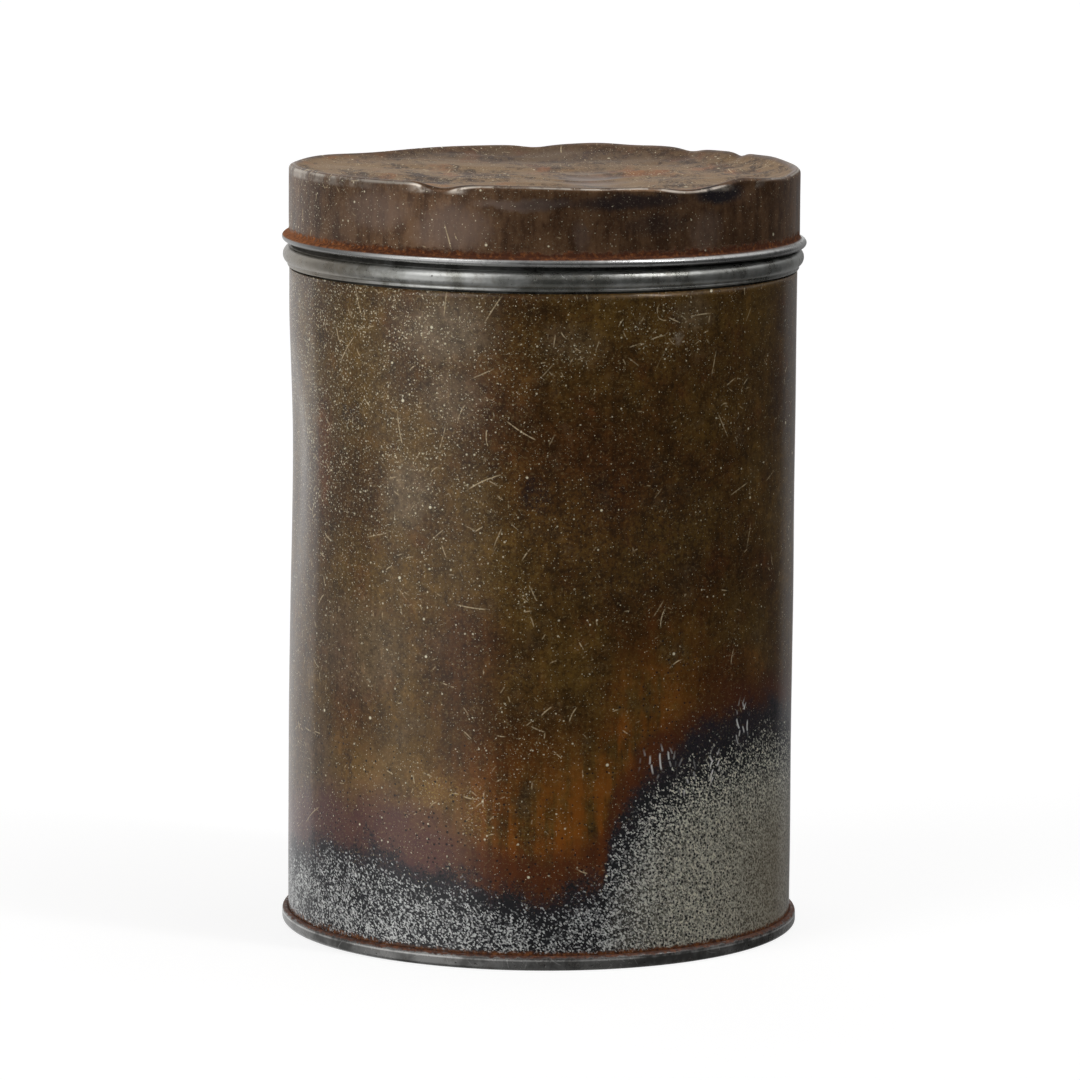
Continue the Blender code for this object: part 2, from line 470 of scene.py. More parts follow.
@dataclass(frozen=True)
class BodyFinish:
    """Brown lacquer over tinplate, burnt away to grainy tin below a wandering heat line."""

    radius_mm: float = 50.0
    olive: Colour = (0.165, 0.088, 0.017)
    umber: Colour = (0.092, 0.039, 0.007)
    russet: Colour = (0.180, 0.052, 0.013)
    haze: Colour = (0.240, 0.172, 0.105)
    amber: Colour = (0.420, 0.120, 0.010)
    straw: Colour = (0.330, 0.185, 0.060)
    gold: Colour = (0.680, 0.470, 0.110)
    rosewood: Colour = (0.110, 0.030, 0.013)
    plum: Colour = (0.120, 0.048, 0.052)
    stain: Colour = (0.030, 0.018, 0.018)
    blueing: Colour = (0.030, 0.027, 0.037)
    tin_light: Colour = (0.800, 0.810, 0.790)
    tin_even: Colour = (0.960, 0.940, 0.790)
    tin_dull: Colour = (0.200, 0.200, 0.210)
    tin_dark: Colour = (0.024, 0.024, 0.027)
    tin_warm: Colour = (0.260, 0.205, 0.135)
    tin_coarse: Colour = (0.090, 0.082, 0.055)
    tin_fine: Colour = (0.920, 0.860, 0.680)
    dim: Colour = (0.600, 0.570, 0.540)
    dark: Colour = (0.340, 0.310, 0.280)
    lift: Colour = (1.600, 1.600, 1.700)
    pit: Colour = (0.014, 0.011, 0.011)
    scraped: Colour = (1.000, 0.990, 0.960)
    flake_mm: float = 0.28
    relief_mm: float = 0.14
    rust: Rust = Rust()
    wear: Wear = Wear()
    heat_line: tuple[Point, ...] = (
        (-180, 12), (-150, 11), (-115, 13), (-72, 16.5), (-52, 20), (-40, 21), (-29, 18.5),
        (-20, 16.5), (-10, 14.5), (2, 13), (9, 14.5), (14.5, 17), (16.5, 27), (24, 33.5),
        (30, 38), (40, 42), (53, 43.5), (62, 44), (80, 41), (115, 31), (150, 16), (180, 12),
    )
    heat_top: float = 60.0
    hazes: tuple[Patch, ...] = (
        Patch(-22, 123, 13, 8, 0.75), Patch(-31, 91, 8, 9, 0.60), Patch(-20, 110, 9, 8, 0.45),
        Patch(-45, 60, 16, 14, 0.40), Patch(-62, 30, 12, 22, 0.30), Patch(31, 121.6, 1.9, 1.9, 1.0),
        Patch(35, 126, 7, 4, 0.45), Patch(6, 121, 9, 5, 0.30),
    )
    reds: tuple[Patch, ...] = (
        Patch(-58, 97, 4, 17, 0.75), Patch(-49, 52, 6, 22, 0.45), Patch(-10, 112, 12, 14, 0.35),
        Patch(8, 93, 22, 20, 0.30), Patch(50, 55, 14, 8, 0.55), Patch(-15, 62, 10, 14, 0.35),
    )
    # Patch(16, 84, ...) is a broad painted shade over the right middle of the wall; the others are
    # stains.
    stains: tuple[Patch, ...] = (
        Patch(-47, 105, 5, 2.4, 0.75), Patch(-1.4, 92, 4.5, 5, 0.75), Patch(-5, 58, 4, 3, 0.4),
        Patch(16, 84, 34, 20, 0.30), Patch(-48, 36, 1.2, 5, 0.7), Patch(-66, 29, 4, 4, 0.5),
        Patch(-22, 104, 3, 1.5, 0.5),
    )
    scuffs: tuple[Patch, ...] = (
        Patch(-64, 98, 6, 36, 0.8), Patch(-48, 122, 18, 9, 0.9), Patch(-3.6, 73, 4, 8, 0.9),
        Patch(-29, 71, 8, 5, 0.7), Patch(28, 123, 14, 8, 0.9), Patch(2, 118, 16, 8, 0.8),
        Patch(-18, 95, 14, 10, 0.5), Patch(-6, 44, 17, 15, 0.6), Patch(-25, 33, 9, 7, 0.8),
        Patch(-13, 31, 5, 9, 0.9),
        Patch(48, 107, 8, 12, 0.5), Patch(-60, 62, 5, 16, 0.6), Patch(38, 88, 6, 4, 0.5),
    )
    golds: tuple[Patch, ...] = (
        Patch(-23, 34, 8, 5, 1.0), Patch(-14, 29, 5, 10, 0.8), Patch(-33, 27, 7, 9, 0.5),
        Patch(-2, 24, 8, 7, 0.4), Patch(31, 54, 3, 5, 0.4), Patch(-64, 119, 6, 12, 0.55),
        Patch(-50, 124, 8, 6, 0.45), Patch(-68, 96, 3, 16, 0.35),
    )
    strokes: tuple[Patch, ...] = (
        Patch(51.6, 45, 3.0, 6.0), Patch(43, 37.5, 2.6, 5.0), Patch(34.5, 36.5, 2.6, 5.0),
        Patch(27, 40, 5.0, 4.0, 0.7),
    )

    def make(self) -> bpy.types.Material:
        """The outside of the body.

        Returns:
            The material.
        """
        board = Paint("browned_lacquer")
        place = board.place_mm()
        x, y, z = board.split(place)
        turn = x.math("ARCTAN2", y * -1.0)
        round_mm = turn * self.radius_mm
        wobble = board.grain(place, 3.5, 4.0, 0.65) - 0.5
        plane = board.join(round_mm, z)
        ragged = board.join(round_mm + wobble * 7.0, z - wobble * 6.0)
        above = self._above_heat_line(board, place, turn, z)
        clouds = board.grain(place, 20.0, 4.0, 0.6)
        patches = board.grain(board.shifted(place, 70, 0), 8.0, 5.0, 0.7)

        colour = self._lacquer(board, place, ragged, clouds, patches)
        colour = self._temper(board, place, plane, ragged, colour, above, round_mm, patches)
        worn = board.patches(ragged, self.scuffs, self.radius_mm)
        busy = (board.grain(place, 9.0, 5.0, 0.7).step(0.46, 0.70) * 0.6).most(worn)
        left = round_mm.step(24.0, -34.0) * (round_mm.step(-128.0, -72.0) * 0.8 + 0.2)
        high = z.step(52.0, 110.0)
        dense = (left * (high * 0.7 + 0.3)).most(busy * 0.8)
        fade = above.step(-3.0, 8.0)
        long_share = (high * 0.45 + 0.04) * fade
        colour, marks = self.wear.over(board, plane, colour, dense * fade, busy * fade, long_share)
        tin, tin_colour, grain = self._tin(board, place, plane, above, round_mm)
        colour = board.mix(tin, colour, tin_colour)
        pits = board.specks(board.shifted(plane, 3, 3), 1.25, 0.32, above.step(36.0, 4.0) * 0.55)
        pits = pits * round_mm.step(42.0, 25.0).most(above.step(-2.0, -8.0) * 0.8)
        colour = board.mix(pits * 0.85, colour, self.pit)
        stroke = board.scratches(plane, 1.9, 1.8, 0.28, 0.85, (60, 115), 0.3) * 1.7
        stroke = stroke * board.patches(plane, self.strokes, self.radius_mm)
        colour = board.mix(stroke, colour, self.scraped)
        rusty = self._rust_foot(board, place, z)
        colour = board.mix(rusty, colour, self.rust.colour(board, place, 0.05))

        rough = 0.42 + (patches - 0.5) * 0.22 + tin * 0.12 + rusty * 0.3
        metal = (0.35 - rusty * 0.35 - marks * 0.2).most(0.0)
        board.paint(base_color=colour, roughness=rough, metallic=metal)
        height = clouds * 0.2 + marks * 0.25 - pits * 0.5 + tin * grain * 0.6 + rusty * wobble
        board.coat(0.45, 0.10)
        board.gloss(LACQUER_GLOSS)
        board.relief(height, self.relief_mm)
        return board.material

    def _above_heat_line(self, board: Board, place: Wire, turn: Wire, z: Wire) -> Wire:
        """Height above the heat line in millimetres, with a ragged edge.

        Args:
            board: The board to add nodes to.
            place: Coordinates in millimetres.
            turn: The bearing in radians.
            z: Height in millimetres.

        Returns:
            The height, below 0 under the line.
        """
        stops = [((b + 180.0) / 360.0, h / self.heat_top) for b, h in self.heat_line]
        share = turn * (0.5 / math.pi) + 0.5
        line = board.split(board.ramp(share, stops))[0] * self.heat_top
        ragged = (board.grain(place, 8.0, 5.0, 0.7) - 0.5) * 12.0
        return z - line + ragged

    def _lacquer(self, board: Board, place: Wire, ragged: Wire, clouds: Wire,
                 patches: Wire) -> Wire:
        """The brown lacquer: olive and umber clouds, haze, red patches, stains, painted shade,
        streaks.

        Args:
            board: The board to add nodes to.
            place: Coordinates in millimetres.
            ragged: The flat coordinates, made ragged.
            clouds: Noise with wide blobs.
            patches: Noise with blobs of a few millimetres.

        Returns:
            The colour.
        """
        colour = board.mix(clouds.step(0.36, 0.64), self.umber, self.olive)
        reds = board.patches(ragged, self.reds, self.radius_mm)
        reds = reds.most(patches.step(0.52, 0.72) * 0.5)
        colour = board.mix(reds * 0.75, colour, self.russet)
        haze = board.patches(ragged, self.hazes, self.radius_mm)
        colour = board.mix(haze.most(patches.step(0.46, 0.28) * 0.25), colour, self.haze)
        upright = board.vector("MULTIPLY", place, (1.0, 1.0, 0.06))
        streaks = board.grain(upright, 1.3, 3.0, 0.65)
        colour = board.tinted(streaks.step(0.60, 0.36) * 0.45, colour, self.dim)
        mottle = board.grain(place, 0.8, 4.0, 0.8)
        darker = board.mix(1.0, colour, self.dark, "MULTIPLY")
        colour = board.mix(mottle.step(0.56, 0.34) * 0.75, colour, darker)
        blots = board.grain(board.shifted(place, 5, 60), 3.0, 4.0, 0.7)
        colour = board.tinted(blots.step(0.50, 0.66) * 0.75, colour, self.lift)
        colour = board.mix(blots.step(0.48, 0.32) * 0.7, colour, darker)
        stains = board.patches(ragged, self.stains, self.radius_mm)
        return board.mix(stains * mottle.step(0.66, 0.40), colour, self.stain)

    def _temper(self, board: Board, place: Wire, plane: Wire, ragged: Wire, colour: Wire,
                above: Wire, round_mm: Wire, patches: Wire) -> Wire:
        """Heat colours over the line: amber and straw, rosewood and plum, then blue-black.

        Args:
            board: The board to add nodes to.
            place: Coordinates in millimetres.
            plane: Flat coordinates in millimetres, round the wall and up.
            ragged: The flat coordinates, made ragged.
            colour: The lacquer's colour.
            above: Height above the heat line in millimetres.
            round_mm: Length round the wall from the front, in millimetres.
            patches: Noise with blobs of a few millimetres.

        Returns:
            The colour.
        """
        upright = board.vector("MULTIPLY", place, (1.0, 1.0, 0.12))
        streaks = board.grain(upright, 2.2, 4.0, 0.65)
        warm = abs(round_mm - 6.0).step(36.0, 8.0) * above.step(40.0, 8.0)
        colour = board.mix(warm * (streaks * 0.5 + patches * 0.5).step(0.38, 0.60) * 0.85, colour,
                           self.amber)
        warm_left = abs(round_mm + 30.0).step(22.0, 8.0) * above.step(30.0, 12.0)
        colour = board.mix(warm_left * patches.step(0.36, 0.60) * 0.6, colour, self.straw)
        golds = board.patches(ragged, self.golds, self.radius_mm)
        flecks = board.grain(plane, 0.5, 3.0, 0.8).step(0.54, 0.68)
        colour = board.mix(golds * flecks * 0.75, colour, self.gold)
        middle = round_mm.step(-22.0, -6.0)
        colour = board.mix(above.step(13.0, 6.0) * middle * 0.8, colour, self.rosewood)
        colour = board.mix(above.step(17.0, 6.0) * (1.0 - middle) * 0.8, colour, self.plum)
        fringe = (board.grain(place, 1.6, 5.0, 0.75) - 0.5) * 9.0
        wide = round_mm.step(12.0, 34.0) * 3.0 + 0.5
        return board.mix((above + fringe - wide).step(4.0, -2.0) * 0.95, colour, self.blueing)

    def _tin(self, board: Board, place: Wire, plane: Wire, above: Wire,
             round_mm: Wire) -> tuple[Wire, Wire, Wire]:
        """The bared tin: where it shows, its colour, and its grain.

        Args:
            board: The board to add nodes to.
            place: Coordinates in millimetres.
            plane: Flat coordinates in millimetres, round the wall and up.
            above: Height above the heat line in millimetres.
            round_mm: Length round the wall from the front, in millimetres.

        Returns:
            Where it shows, from 0 to 1, its colour, and its grain, from 0 to 1.
        """
        fray = (board.grain(place, 0.35, 2.0, 0.8) - 0.5) * 0.6
        loose = board.join(round_mm + fray, board.split(plane)[1] - fray)
        _, _, drawn = board.cells(board.shifted(loose, 8, 90), self.flake_mm)
        blotch = board.grain(place, 4.0, 5.0, 0.75)
        right = round_mm.step(8.0, 34.0)
        deep = above.step(2.0, -8.0 - right * 6.0)
        share = 0.13 + deep * 0.34 + right * deep * 0.26 + (blotch - 0.5) * (1.9 - right * 1.0)
        lit = (share - drawn[0]).step(-0.03, 0.05)
        light = board.mix(right, self.tin_light, self.tin_even)
        dull = board.mix(1.0, light, self.tin_dull, "MULTIPLY")
        colour = board.mix(lit, self.tin_dark, board.mix(drawn[1].step(0.0, 0.8), dull, light))
        even = right * above.step(-6.0, -20.0)
        fine = board.grain(place, 0.6, 4.0, 0.9).step(0.40, 0.56)
        olive = board.mix(fine, self.tin_coarse, self.tin_fine)
        colour = board.mix(even * 0.45, colour, olive)
        dark = board.specks(board.shifted(plane, 47, 11), 0.90, 0.38, right * deep * 0.95)
        colour = board.mix(dark * 0.95, colour, self.tin_dark)
        warm = round_mm.step(30.0, 66.0) * above.step(-4.0, -30.0)
        colour = board.mix(warm * 0.65, colour, self.tin_warm)
        # Painted shade: the tin is darkened further towards the right edge, the side away from the
        # light.
        colour = board.mix(round_mm.step(63.0, 76.0) * 0.45, colour, self.tin_dark)
        shows = (above + (drawn[2] - 0.5) * 6.0 + (blotch - 0.5) * 9.0).step(0.8, -1.6)
        return shows, colour, lit

    def _rust_foot(self, board: Board, place: Wire, z: Wire) -> Wire:
        """Rust at the wall's foot, creeping up in places.

        Args:
            board: The board to add nodes to.
            place: Coordinates in millimetres.
            z: Height in millimetres.

        Returns:
            The rust's strength, from 0 to 1.
        """
        creep = board.grain(place, 1.1, 5.0, 0.8)
        left = board.split(place)[0].step(-20.0, -46.0)
        return (z - (creep - 0.5) * (2.6 + left * 6.0) - 0.6).step(3.2, 2.5)


@dataclass(frozen=True)
class LidFinish:
    """Brown lacquer on the lid: mottled skirt, tan scuffed top and rust over the curl."""

    radius_mm: float = 50.0
    brown: Colour = (0.200, 0.108, 0.054)
    umber: Colour = (0.075, 0.036, 0.018)
    mauve: Colour = (0.260, 0.185, 0.150)
    soot_and_shade: Colour = (0.022, 0.020, 0.026)
    tan: Colour = (0.300, 0.185, 0.088)
    bark: Colour = (0.065, 0.032, 0.016)
    orange: Colour = (0.380, 0.140, 0.042)
    steel: Colour = (0.600, 0.600, 0.590)
    rubbed_highlight: Colour = (0.620, 0.550, 0.470)
    grime_and_shade: Colour = (0.014, 0.012, 0.010)
    rust: Rust = Rust(deep=(0.085, 0.026, 0.010), orange=(0.460, 0.160, 0.045))
    wear: Wear = Wear(pale=(0.34, 0.28, 0.19))
    relief_mm: float = 0.16
    curl_head_mm: float = LID_FOOT_MM + 2.10
    rust_head_mm: float = LID_FOOT_MM + 3.7
    shoulder_mm: float = LID_HEAD_MM - 1.9
    shoulder_ring_mm: float = 49.95
    sheens: tuple[Patch, ...] = (
        Patch(-40, LID_FOOT_MM + 10, 11, 5, 0.45), Patch(-20, LID_FOOT_MM + 7.5, 10, 6, 0.5),
        Patch(-5, LID_FOOT_MM + 12.5, 12, 1.5, 0.6), Patch(8, LID_FOOT_MM + 6.5, 3, 4, 0.3),
        Patch(38, LID_FOOT_MM + 6.5, 5, 5, 0.35), Patch(-50, LID_FOOT_MM + 6.5, 7, 6, 0.15),
    )
    # Partly soot, partly painted shade: the dark patches just under the shoulder stand for shade
    # below its edge.
    soot_and_shade_patches: tuple[Patch, ...] = (
        Patch(19, LID_FOOT_MM + 12.8, 15, 2.2, 0.75), Patch(42, LID_FOOT_MM + 13.5, 9, 2.5, 0.95),
        Patch(2, LID_FOOT_MM + 12.6, 9, 1.5, 0.4), Patch(26, LID_FOOT_MM + 8.5, 9, 3, 0.4),
    )

    def make(self) -> bpy.types.Material:
        """The outside of the lid.

        Returns:
            The material.
        """
        board = Paint("lid_lacquer")
        place = board.place_mm()
        x, y, z = board.split(place)
        round_mm = board.unroll(x, y, self.radius_mm)
        inward = board.inward(x, y)
        on_top = inward.step(49.2, 48.0) * z.step(self.shoulder_mm - 2.5, self.shoulder_mm - 1.5)
        patches = board.grain(place, 6.0, 5.0, 0.7)
        wobble = patches - 0.5
        plane = board.join(round_mm, z)
        ragged = board.join(round_mm + wobble * 8.0, z + wobble * 4.0)
        skirt = self._skirt(board, place, plane, ragged, patches)
        top, marks = self._top(board, place, x, y)
        colour = board.mix(on_top, skirt, top)
        # Painted highlight along the shoulder's edge, partly worn metal.
        edge = self._worn_edge_highlight(board, place, z, inward)
        colour = board.mix(edge, colour, self.rubbed_highlight)
        steel = z.step(self.curl_head_mm + 0.15, self.curl_head_mm - 0.25)
        stain = board.grain(place, 2.5, 4.0, 0.7)
        # Painted shade: the curl's underside is darkened over the gap above the bead, and the steel
        # on the left side is darkened to dim its light; only the stain term is real dirt.
        under = z.step(self.curl_head_mm - 1.25, self.curl_head_mm - 1.55)
        dirt_and_shade = (stain.step(0.50, 0.74) * 0.5).most(x.step(-26.0, -46.0) * 0.62)
        bare = board.mix(dirt_and_shade.most(under), self.steel, self.grime_and_shade)
        colour = board.mix(steel, colour, bare)
        rusty = self._rusty(board, place, z, stain)
        glow = round_mm.step(-26.0, -66.0) * 0.22 - 0.04
        colour = board.mix(rusty, colour, self.rust.colour(board, place, glow))
        rough = 0.38 + wobble * 0.25 + on_top * 0.20 + rusty * 0.45 - edge * 0.06 - steel * 0.10
        metal = (0.40 - rusty * 0.40 - on_top * 0.15 + steel * 0.5 + edge * 0.4).most(0.0)
        board.paint(base_color=colour, roughness=rough, metallic=metal)
        board.gloss(LACQUER_GLOSS)
        board.relief(patches * 0.5 + rusty * stain + on_top * marks * 0.3, self.relief_mm)
        return board.material

    def _skirt(self, board: Board, place: Wire, plane: Wire, ragged: Wire,
               patches: Wire) -> Wire:
        """The skirt's colour: mottled brown, faint streaks, mauve sheen, soot and painted shade,
        specks.

        Args:
            board: The board to add nodes to.
            place: Coordinates in millimetres.
            plane: Flat coordinates in millimetres, round the wall and up.
            ragged: The flat coordinates, made ragged.
            patches: Noise with blobs of a few millimetres.

        Returns:
            The colour.
        """
        upright = board.vector("MULTIPLY", place, (1.0, 1.0, 0.22))
        streaks = board.grain(upright, 2.6, 5.0, 0.7)
        mottle = board.grain(place, 1.1, 4.0, 0.75)
        shade = streaks * 0.5 + patches * 0.3 + mottle * 0.2
        colour = board.mix(shade.step(0.40, 0.60), self.umber, self.brown)
        sheen = board.patches(ragged, self.sheens, self.radius_mm)
        colour = board.mix(sheen, colour, self.mauve)
        # Soot, with painted shade under the shoulder.
        soot_and_shade = board.patches(ragged, self.soot_and_shade_patches, self.radius_mm)
        colour = board.mix(soot_and_shade, colour, self.soot_and_shade)
        left = board.split(plane)[0].step(-22.0, -60.0)
        worn = board.grain(place, 7.0, 4.0, 0.7).step(0.50, 0.75)
        dense = left * 0.5 + worn * 0.2 + 0.03
        return self.wear.over(board, board.shifted(plane, 23, 5), colour, dense,
                              worn * 0.5 + left * 0.4, 0.08)[0]

    def _top(self, board: Board, place: Wire, x: Wire, y: Wire) -> tuple[Wire, Wire]:
        """The top's colour, tan with orange and brown drifts, and its marks.

        Args:
            board: The board to add nodes to.
            place: Coordinates in millimetres.
            x: Place along X in millimetres.
            y: Place along Y in millimetres.

        Returns:
            The colour, and the marks' strength.
        """
        level = board.vector("MULTIPLY", place, (1.0, 0.55, 1.0))
        drifts = board.grain(level, 9.0, 5.0, 0.7)
        mottle = board.grain(level, 1.4, 5.0, 0.8)
        shade = drifts * 0.55 + mottle * 0.45
        colour = board.mix(shade.step(0.40, 0.53), self.bark, self.tan)
        glow = board.grain(board.shifted(level, 40, 9), 9.0, 4.0, 0.65).step(0.50, 0.68)
        colour = board.mix(glow * 0.65, colour, self.orange)
        colour = board.mix(y.step(16.0, 46.0) * 0.65, colour, self.bark)
        worn = board.grain(place, 10.0, 4.0, 0.7).step(0.42, 0.70)
        flat = board.join(x, y)
        return self.wear.over(board, flat, colour, worn * 0.5 + 0.1, worn * 0.5, 0.25)

    def _worn_edge_highlight(self, board: Board, place: Wire, z: Wire, inward: Wire) -> Wire:
        """Where the shoulder is painted bright: a thin painted highlight line along it, partly
        handling wear.

        Args:
            board: The board to add nodes to.
            place: Coordinates in millimetres.
            z: Height in millimetres.
            inward: Distance from the axis in millimetres.

        Returns:
            The wear's strength, from 0 to 1.
        """
        highlight_rub = board.grain(place, 4.0, 4.0, 0.7)
        band = abs(inward - self.shoulder_ring_mm).step(0.24, 0.06)
        band = band * z.step(self.shoulder_mm - 0.6, self.shoulder_mm + 0.2)
        return band * (highlight_rub.step(0.38, 0.55) * 0.75 + 0.15)

    def _rusty(self, board: Board, place: Wire, z: Wire, stain: Wire) -> Wire:
        """Rust in the corner over the curl, thinning upward, with a few spots on the skirt.

        Args:
            board: The board to add nodes to.
            place: Coordinates in millimetres.
            z: Height in millimetres.
            stain: Noise that thins the spots.

        Returns:
            The rust's strength, from 0 to 1.
        """
        creep = board.grain(place, 1.4, 5.0, 0.8)
        band = (z - (creep - 0.5) * 4.2).step(self.rust_head_mm + 0.1, self.rust_head_mm - 0.8)
        over = z.step(self.curl_head_mm - 0.3, self.curl_head_mm + 0.05)
        spots = board.grain(place, 1.2, 3.0, 0.7).step(0.70, 0.76) * 0.6
        low = z.step(LID_FOOT_MM + 11.5, LID_FOOT_MM + 4.5)
        return (band * over).most(spots * low * stain.step(0.45, 0.6))


@dataclass(frozen=True)
class BareTin:
    """Bare tinplate: grey and stained, with rust, a painted shade band, painted shade on the left
    and a painted highlight line over a rubbed ring, at given heights.
    """

    name: str = "bare_tin"
    bright: Colour = (0.420, 0.415, 0.405)
    dull: Colour = (0.150, 0.140, 0.125)
    stain: Colour = (0.120, 0.075, 0.045)
    pit: Colour = (0.030, 0.022, 0.018)
    mark: Colour = (0.650, 0.640, 0.620)
    grime_and_shade: Colour = (0.004, 0.0035, 0.003)
    rubbed_highlight: Colour = (0.720, 0.710, 0.690)
    radius_mm: float = 50.0
    relief_mm: float = 0.06
    roughness: float = 0.34
    stained: float = 0.5
    metal: float = 0.95
    shade_band_low_mm: float = NOWHERE_MM
    highlight_rub_mm: float = NOWHERE_MM
    left_shade: float = 0.0
    rust_low_mm: float = 0.0
    rust_high_mm: float = 0.0
    rust: Rust = Rust()

    def make(self) -> bpy.types.Material:
        """The metal's material.

        Returns:
            The material.
        """
        board = Paint(self.name)
        place = board.place_mm()
        x, y, z = board.split(place)
        plane = board.join(board.unroll(x, y, self.radius_mm), z + board.inward(x, y))
        clouds = board.grain(place, 6.0, 4.0, 0.65)
        fine = board.grain(place, 0.9, 3.0, 0.7)
        colour = board.mix(clouds.step(0.34, 0.62), self.dull, self.bright)
        stains = board.grain(place, 3.4, 5.0, 0.7).step(0.52, 0.70)
        colour = board.mix(stains * self.stained, colour, self.stain)
        # Painted shade: the left side is darkened towards the stain colour to dim its light.
        colour = board.mix(x.step(-26.0, -46.0) * self.left_shade, colour, self.stain)
        pits = board.specks(plane, 1.3, 0.22, 0.22)
        colour = board.mix(pits * 0.7, colour, self.pit)
        marks = board.scratches(plane, 4.0, 1.9, 0.07, 0.35, (0, 180), 0.3)
        colour = board.mix(marks * 0.4, colour, self.mark)
        rough = self.roughness + (clouds - 0.5) * 0.3 + stains * (0.25 * self.stained)
        metal = self.metal - stains * (0.4 * self.stained)
        # Painted shade: a near-black band from this height up, for the dark gap under the lid's
        # curl.
        grime_and_shade = z.step(self.shade_band_low_mm, self.shade_band_low_mm + 0.3) * (1.0 - clouds * 0.4)
        grime_and_shade = grime_and_shade * z.step(self.shade_band_low_mm + 3.4, self.shade_band_low_mm + 1.6)
        colour = board.mix(grime_and_shade, colour, self.grime_and_shade)
        rough = rough + grime_and_shade * 0.6
        metal = metal.most(grime_and_shade)
        # Painted highlight: a bright, broken line at this height, over a little rubbing.
        highlight_rub = abs(z - self.highlight_rub_mm).step(0.24, 0.08) * clouds.step(0.30, 0.56)
        colour = board.mix(highlight_rub * 0.75, colour, self.rubbed_highlight)
        if self.rust_high_mm > self.rust_low_mm:
            edge = z + (board.grain(place, 1.5, 4.0, 0.7) - 0.5) * 1.6
            low = edge.step(self.rust_low_mm - 0.2, self.rust_low_mm + 0.2)
            rusty = low * edge.step(self.rust_high_mm + 0.2, self.rust_high_mm - 0.2)
            colour = board.mix(rusty, colour, self.rust.colour(board, place, 0.04))
            rough = rough + rusty * 0.4
            metal = metal - rusty * 0.85
        board.paint(base_color=colour, roughness=rough, metallic=metal.most(0.0))
        board.relief(fine * 0.5 - pits + marks * 0.3, self.relief_mm)
        return board.material


@dataclass(frozen=True)
class PolishFinish:
    """Dark brown wax: glossy where it was wiped, dry and pale at the edge."""

    fresh: Colour = (0.050, 0.019, 0.010)
    deep: Colour = (0.020, 0.008, 0.005)
    bloom: Colour = (0.150, 0.090, 0.060)
    relief_mm: float = 0.2

    def make(self) -> bpy.types.Material:
        """The polish.

        Returns:
            The material.
        """
        board = Paint("wax_polish")
        place = board.place_mm()
        x, y, _ = board.split(place)
        inward = board.inward(x, y)
        clouds = board.grain(place, 9.0, 4.0, 0.6)
        fine = board.grain(place, 1.2, 4.0, 0.7)
        colour = board.mix(clouds.step(0.35, 0.65), self.deep, self.fresh)
        dry = inward.step(34.0, 48.0) * clouds.step(0.35, 0.60)
        colour = board.mix(dry * 0.5 + fine.step(0.60, 0.75) * 0.15, colour, self.bloom)
        rough = 0.30 + dry * 0.35 + (fine - 0.5) * 0.3
        board.paint(base_color=colour, roughness=rough, metallic=0.0)
        board.coat(0.25, 0.03)
        board.relief(fine, self.relief_mm)
        return board.material


# ---------------------------------------------------------------------------------------------
# Turned pieces
# ---------------------------------------------------------------------------------------------


def smooth(value: float, low: float, high: float) -> float:
    """A smooth step of a number, 0 at low and 1 at high, which may be below low."""
    share = min(1.0, max(0.0, (value - low) / (high - low)))
    return share * share * (3.0 - 2.0 * share)


def bearing_of(point: Vector) -> float:
    """The bearing of a point, in degrees from the front."""
    return math.degrees(math.atan2(point.x, -point.y))


def outward(point: Vector, out_mm: float) -> Vector:
    """A point moved out from the axis."""
    direction = Vector((point.x, point.y, 0.0)).normalized()
    return point + direction * out_mm * MM


def bearing_gap(first: float, second: float) -> float:
    """The signed difference of two bearings, from -180 to 180 degrees."""
    return (first - second + 180.0) % 360.0 - 180.0


@dataclass(frozen=True)
class Dent:
    """A wide dent in the body, which the polish behind it has yielded to."""

    bearing: float = -79.0
    height_mm: float = 95.0
    deep_mm: float = 1.75
    spread: float = 12.5
    above_mm: float = 29.0
    below_mm: float = 58.0

    def depth(self, point: Vector) -> float:
        """How far the wall is pressed in at a point, in millimetres.

        Args:
            point: A point of the true wall.

        Returns:
            The depth, 0 far from the dent.
        """
        rise = point.z / MM - self.height_mm
        fall = smooth(abs(rise), self.above_mm if rise > 0 else self.below_mm, 0.0)
        gap = bearing_gap(bearing_of(point), self.bearing) / self.spread
        return self.deep_mm * fall * math.exp(-gap * gap)


DENT = Dent()


@dataclass
class Outline:
    """A turned outline of (radius, height) points in millimetres, from lines and arcs."""

    points: list[Point] = field(default_factory=list)

    def line(self, radius: float, height: float, steps: int = 1) -> "Outline":
        """Go straight to a point.

        Args:
            radius: Its radius.
            height: Its height.
            steps: How many stretches the line is cut into.

        Returns:
            The outline itself.
        """
        if not self.points:
            self.points.append((radius, height))
            return self
        start = self.points[-1]
        for i in range(1, steps + 1):
            share = i / steps
            self.points.append((start[0] + (radius - start[0]) * share,
                                start[1] + (height - start[1]) * share))
        return self

    def arc(self, centre: Point, radius: float, start: float, end: float, steps: int,
            tall: float = 0.0) -> "Outline":
        """Add a round stretch.

        Args:
            centre: Its centre.
            radius: Its radius across.
            start: Angle of its start in degrees.
            end: Angle of its end.
            steps: How many stretches it has.
            tall: Its radius upward, where that differs.

        Returns:
            The outline itself.
        """
        for i in range(steps + 1):
            angle = math.radians(start + (end - start) * i / steps)
            point = (centre[0] + radius * math.cos(angle),
                     centre[1] + (tall or radius) * math.sin(angle))
            if not self.points or math.dist(point, self.points[-1]) > 1e-4:
                self.points.append(point)
        return self


